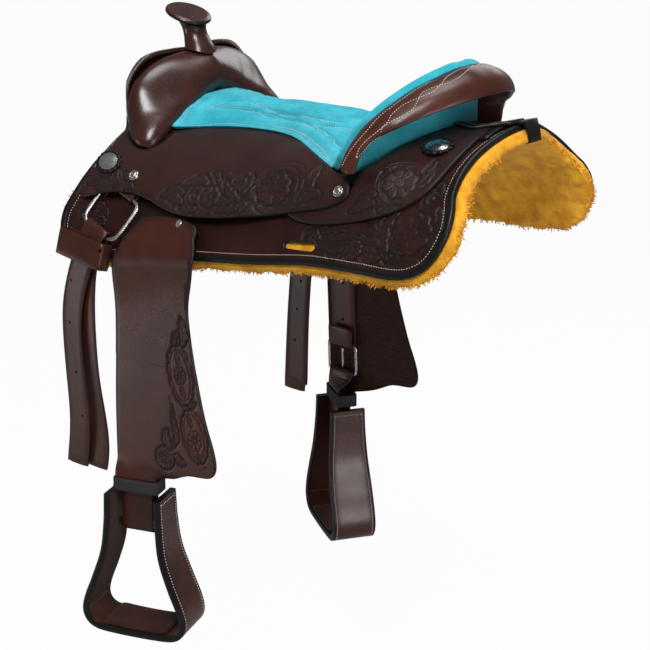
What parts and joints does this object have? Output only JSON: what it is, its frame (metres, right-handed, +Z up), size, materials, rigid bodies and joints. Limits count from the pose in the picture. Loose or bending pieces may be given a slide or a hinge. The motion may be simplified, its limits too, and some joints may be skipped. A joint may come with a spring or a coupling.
{
  "type": "western pleasure saddle",
  "caption": "Western saddle with a horn, a padded suede seat, tooled skirts over a fleece lining, hung fenders with stirrups, and front dees with a latigo and an off billet.",
  "frame": {"origin": "on the middle plane, at the height of the horse's spine under the middle of the seat; the saddle rests on the horse's back around it", "axes": "+Z up, +X to the rear (cantle), -X to the front (horn), +Y to the off (right) side, -Y to the near (left) side"},
  "size_m": [0.5997, 0.5357, 0.7964],
  "materials": {
    "buckle_tongue_left": "polished steel",
    "buckle_tongue_right": "polished steel",
    "cantle_back_panel": "turquoise suede",
    "cantle_roll": "oiled red-brown",
    "concho_front_left": "polished silver-coloured metal",
    "concho_front_right": "polished silver-coloured metal",
    "concho_rear_left": "polished silver-coloured metal",
    "concho_rear_right": "polished silver-coloured metal",
    "dee_ring_left": "polished steel",
    "dee_ring_right": "polished steel",
    "fender_left": "oiled dark brown",
    "fender_right": "oiled dark brown",
    "fleece_lining": "golden woolly pile",
    "fork_core": "bare",
    "fork_cover": "oiled dark brown",
    "fork_front_cover": "oiled dark brown",
    "hanger_strap_left": "oiled dark brown",
    "hanger_strap_right": "oiled dark brown",
    "hobble_band_left": "black elastic webbing",
    "hobble_band_right": "black elastic webbing",
    "horn_cap": "oiled dark brown",
    "horn_neck": "oiled dark brown",
    "jockey_screw_front_left": "polished silver-coloured metal",
    "jockey_screw_front_right": "polished silver-coloured metal",
    "jockey_screw_rear_left": "polished silver-coloured metal",
    "jockey_screw_rear_right": "polished silver-coloured metal",
    "latigo_left": "oiled dark brown",
    "latigo_turn_left": "oiled dark brown",
    "leather_buckle_left": "polished steel",
    "leather_buckle_right": "polished steel",
    "off_billet_right": "oiled dark brown",
    "rear_jockey_left": "oiled dark brown",
    "rear_jockey_right": "oiled dark brown",
    "rear_tie": "oiled dark brown",
    "rigging_strap_left": "oiled dark brown",
    "rigging_strap_right": "oiled dark brown",
    "rosette_front_left": "black, satin",
    "rosette_front_right": "black, satin",
    "rosette_rear_left": "black, satin",
    "rosette_rear_right": "black, satin",
    "seat_jockey_left": "oiled dark brown",
    "seat_jockey_right": "oiled dark brown",
    "seat_pad": "turquoise suede",
    "skirt_binding_left": "black, satin",
    "skirt_binding_right": "black, satin",
    "skirt_left": "oiled dark brown",
    "skirt_right": "oiled dark brown",
    "stirrup_bolt_left": "polished steel",
    "stirrup_bolt_right": "polished steel",
    "stirrup_leather_left": "oiled dark brown",
    "stirrup_leather_right": "oiled dark brown",
    "stirrup_left": "oiled dark brown",
    "stirrup_loop_left": "oiled dark brown",
    "stirrup_loop_right": "oiled dark brown",
    "stirrup_right": "oiled dark brown",
    "stirrup_tread_left": "red-brown suede",
    "stirrup_tread_right": "red-brown suede",
    "tree_bar_left": "bare",
    "tree_bar_right": "bare",
    "tree_seat": "bare"
  },
  "bodies": {
    "saddle": {"cantle_back_panel": "cantle_back_panel", "cantle_roll": "cantle_roll", "concho_front_left": "concho_front_left", "concho_front_right": "concho_front_right", "concho_rear_left": "concho_rear_left", "concho_rear_right": "concho_rear_right", "fleece_lining": "fleece_lining", "fork_core": "fork_core", "fork_cover": "fork_cover", "fork_front_cover": "fork_front_cover", "horn_cap": "horn_cap", "horn_neck": "horn_neck", "jockey_screw_front_left": "jockey_screw_front_left", "jockey_screw_front_right": "jockey_screw_front_right", "jockey_screw_rear_left": "jockey_screw_rear_left", "jockey_screw_rear_right": "jockey_screw_rear_right", "rear_jockey_left": "rear_jockey_left", "rear_jockey_right": "rear_jockey_right", "rear_tie": "rear_tie", "rigging_strap_left": "rigging_strap_left", "rigging_strap_right": "rigging_strap_right", "rosette_front_left": "rosette_front_left", "rosette_front_right": "rosette_front_right", "rosette_rear_left": "rosette_rear_left", "rosette_rear_right": "rosette_rear_right", "seat_jockey_left": "seat_jockey_left", "seat_jockey_right": "seat_jockey_right", "seat_pad": "seat_pad", "skirt_binding_left": "skirt_binding_left", "skirt_binding_right": "skirt_binding_right", "skirt_left": "skirt_left", "skirt_right": "skirt_right", "tree_bar_left": "tree_bar_left", "tree_bar_right": "tree_bar_right", "tree_seat": "tree_seat"},
    "hanger_left": {"hanger_strap_left": "hanger_strap_left"},
    "leg_left": {"fender_left": "fender_left", "stirrup_leather_left": "stirrup_leather_left", "stirrup_loop_left": "stirrup_loop_left", "leather_buckle_left": "leather_buckle_left", "hobble_band_left": "hobble_band_left"},
    "tongue_left": {"buckle_tongue_left": "buckle_tongue_left"},
    "stirrup_left": {"stirrup_left": "stirrup_left", "stirrup_tread_left": "stirrup_tread_left", "stirrup_bolt_left": "stirrup_bolt_left"},
    "dee_left": {"dee_ring_left": "dee_ring_left"},
    "latigo_left": {"latigo_left": "latigo_left", "latigo_turn_left": "latigo_turn_left"},
    "hanger_right": {"hanger_strap_right": "hanger_strap_right"},
    "leg_right": {"fender_right": "fender_right", "stirrup_leather_right": "stirrup_leather_right", "stirrup_loop_right": "stirrup_loop_right", "leather_buckle_right": "leather_buckle_right", "hobble_band_right": "hobble_band_right"},
    "tongue_right": {"buckle_tongue_right": "buckle_tongue_right"},
    "stirrup_right": {"stirrup_right": "stirrup_right", "stirrup_tread_right": "stirrup_tread_right", "stirrup_bolt_right": "stirrup_bolt_right"},
    "dee_right": {"dee_ring_right": "dee_ring_right"},
    "off_billet": {"off_billet_right": "off_billet_right"}
  },
  "joints": [
    {"name": "leg_swing_left", "type": "hinge", "parent": "saddle", "child": "hanger_left", "pos_m": [-0.13767, -0.14997, -0.04891], "axis": [0, -0.8972, 0.4416], "range_deg": [-3, 3]},
    {"name": "leg_lift_left", "type": "hinge", "parent": "hanger_left", "child": "leg_left", "pos_m": [-0.13829, -0.18191, -0.08253], "axis": [-1, 0, 0], "range_deg": [0, 50]},
    {"name": "tongue_pivot_left", "type": "hinge", "parent": "leg_left", "child": "tongue_left", "pos_m": [-0.13847, -0.20596, -0.389], "axis": [-0.9986, -0.0523, 0], "range_deg": [0, 40]},
    {"name": "stirrup_turn_left", "type": "hinge", "parent": "leg_left", "child": "stirrup_left", "pos_m": [-0.14215, -0.20599, -0.492], "axis": [-0.9455, -0.3256, 0], "range_deg": [-10, 10]},
    {"name": "dee_hinge_left", "type": "hinge", "parent": "saddle", "child": "dee_left", "pos_m": [-0.18706, -0.1714, -0.0597], "axis": [-0.9471, 0.1167, 0.2989], "range_deg": [0, 5]},
    {"name": "latigo_swing", "type": "hinge", "parent": "dee_left", "child": "latigo_left", "pos_m": [-0.20205, -0.20823, -0.10636], "axis": [-0.9471, 0.1167, 0.2989], "range_deg": [0, 30]},
    {"name": "leg_swing_right", "type": "hinge", "parent": "saddle", "child": "hanger_right", "pos_m": [-0.13767, 0.14997, -0.04891], "axis": [0, 0.8972, 0.4416], "range_deg": [-3, 3]},
    {"name": "leg_lift_right", "type": "hinge", "parent": "hanger_right", "child": "leg_right", "pos_m": [-0.13829, 0.18191, -0.08253], "axis": [1, 0, 0], "range_deg": [0, 50]},
    {"name": "tongue_pivot_right", "type": "hinge", "parent": "leg_right", "child": "tongue_right", "pos_m": [-0.13847, 0.20596, -0.389], "axis": [0.9986, -0.0523, 0], "range_deg": [0, 40]},
    {"name": "stirrup_turn_right", "type": "hinge", "parent": "leg_right", "child": "stirrup_right", "pos_m": [-0.14494, 0.20735, -0.492], "axis": [0.8387, -0.5446, 0], "range_deg": [-10, 10]},
    {"name": "dee_hinge_right", "type": "hinge", "parent": "saddle", "child": "dee_right", "pos_m": [-0.18706, 0.1714, -0.0597], "axis": [0.9471, 0.1167, -0.2989], "range_deg": [0, 5]},
    {"name": "billet_swing", "type": "hinge", "parent": "dee_right", "child": "off_billet", "pos_m": [-0.20205, 0.20823, -0.10636], "axis": [0.9471, 0.1167, -0.2989], "range_deg": [0, 30]}
  ]
}
